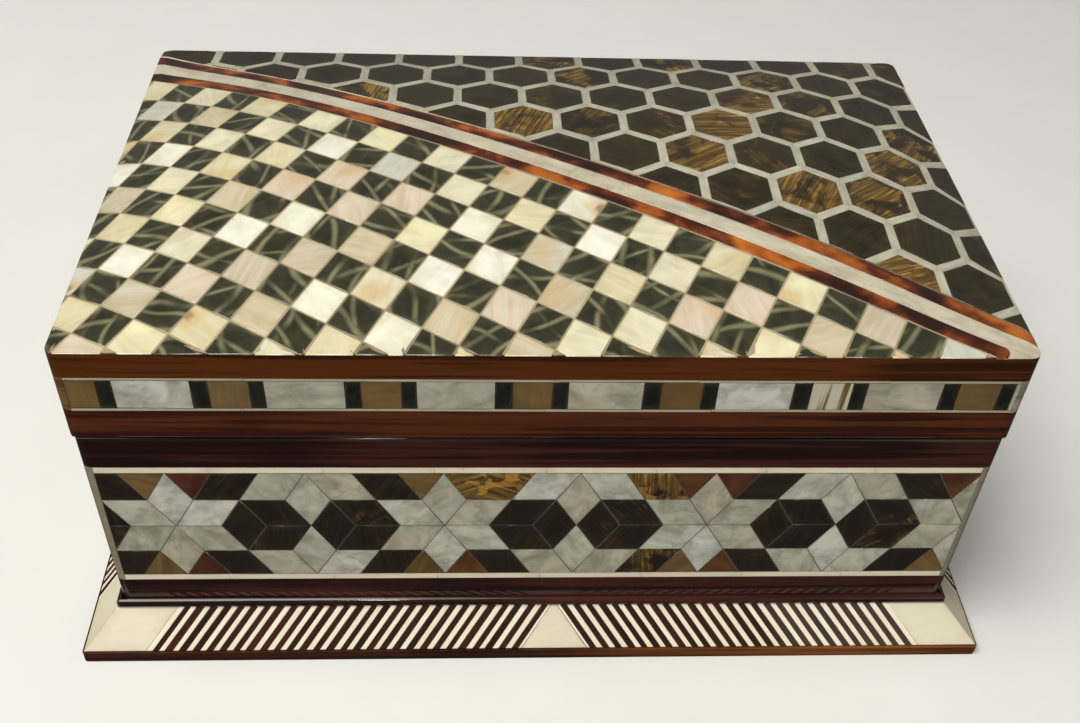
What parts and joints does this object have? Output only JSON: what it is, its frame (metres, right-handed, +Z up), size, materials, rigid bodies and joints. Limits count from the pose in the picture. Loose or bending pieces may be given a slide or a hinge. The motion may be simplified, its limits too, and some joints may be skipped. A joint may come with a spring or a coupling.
{
  "type": "inlaid wooden box",
  "caption": "Rectangular wooden jewellery box with a cushion-shaped hinged lid, a flared plinth, shell and bone mosaic and a cloth-lined inside.",
  "frame": {"origin": "middle of the base board's underside", "axes": "+X to the right along the box's length, +Y towards the hinged back, +Z up"},
  "size_m": [0.228, 0.147, 0.1048],
  "materials": {
    "dark_wood": "gloss lacquer",
    "red_wood": "gloss lacquer",
    "bone": "polished",
    "pearl": "polished",
    "black_shell": "polished",
    "brown_shell": "polished",
    "brown_horn": "polished",
    "tortoiseshell": "polished",
    "velvet": "velvet",
    "brass": "polished"
  },
  "bodies": {
    "body": {"base_board": "red_wood", "plinth_front_rail": "dark_wood", "plinth_right_rail": "dark_wood", "plinth_back_rail": "dark_wood", "plinth_left_rail": "dark_wood", "plinth_bead": "red_wood", "plinth_bone_stripes": "bone", "plinth_dark_stripes": "dark_wood", "plinth_bone_corners": "bone", "plinth_bone_triangles": "bone", "front_panel": "dark_wood", "right_panel": "dark_wood", "back_panel": "dark_wood", "left_panel": "dark_wood", "body_bone_lines": "bone", "body_corner_strips": "bone", "mosaic_pearl_pieces": "pearl", "mosaic_dark_pieces": "black_shell", "mosaic_brown_pieces": "brown_horn", "lining_floor": "velvet", "lining_front": "velvet", "lining_right": "velvet", "lining_back": "velvet", "lining_left": "velvet", "left_hinge_body_leaf": "brass", "right_hinge_body_leaf": "brass", "left_hinge_pin": "brass", "right_hinge_pin": "brass", "body_leaf_screws": "brass"},
    "lid": {"lid_front_rail": "red_wood", "lid_right_rail": "red_wood", "lid_back_rail": "red_wood", "lid_left_rail": "red_wood", "lid_top_board": "dark_wood", "lid_pale_lines": "bone", "lid_corner_strips": "bone", "lid_pearl_panels": "pearl", "lid_black_bars": "black_shell", "lid_brown_blocks": "brown_horn", "chequer_pearl_squares": "pearl", "chequer_black_squares": "black_shell", "honeycomb_shell_hexagons": "brown_shell", "honeycomb_lattice": "pearl", "diagonal_pearl_stripe": "pearl", "diagonal_back_shell_stripe": "tortoiseshell", "diagonal_front_shell_stripe": "tortoiseshell", "diagonal_pale_line": "bone", "lid_lining": "velvet", "left_hinge_lid_leaf": "brass", "right_hinge_lid_leaf": "brass", "lid_leaf_screws": "brass"}
  },
  "joints": [
    {"name": "lid_hinge", "type": "hinge", "parent": "body", "child": "lid", "pos_m": [0, 0.0663, 0.0705], "axis": [-1, 0, 0], "range_deg": [0, 100]}
  ]
}
